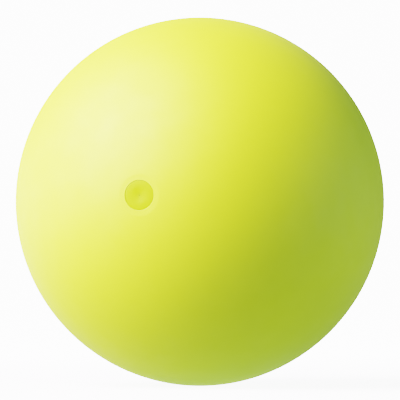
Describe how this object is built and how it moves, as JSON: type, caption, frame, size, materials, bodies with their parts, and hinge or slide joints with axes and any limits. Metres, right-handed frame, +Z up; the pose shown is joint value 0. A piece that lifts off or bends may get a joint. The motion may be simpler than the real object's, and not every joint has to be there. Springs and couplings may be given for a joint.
{
  "type": "playground ball",
  "caption": "Smooth inflatable rubber playground ball with a wound carcass, an inner bladder and a flush pull-out inflation plug.",
  "frame": {"origin": "centre of the ball", "axes": "+Z up; the valve axis is Y, and the valve faces the front, along -Y"},
  "size_m": [0.2154, 0.2154, 0.2154],
  "materials": {
    "cover_rubber": "smooth matt yellow-green skin with a soft, broad sheen",
    "nylon_thread": "natural nylon thread wound in great circles and latexed",
    "butyl": "smooth black butyl",
    "seat_rubber": "moulded black rubber, satin",
    "patch_rubber": "cut black sheet rubber, matt",
    "plug_rubber": "soft yellow-green rubber, a little glossier than the skin"
  },
  "bodies": {
    "ball": {"cover": "cover_rubber", "nylon_winding": "nylon_thread", "bladder": "butyl", "valve_seat": "seat_rubber", "valve_patch": "patch_rubber"},
    "plug": {"valve_plug": "plug_rubber"}
  },
  "joints": [
    {"name": "plug_pull", "type": "slide", "parent": "ball", "child": "plug", "axis": [0, -1, 0], "range_m": [0, 0.024]}
  ]
}
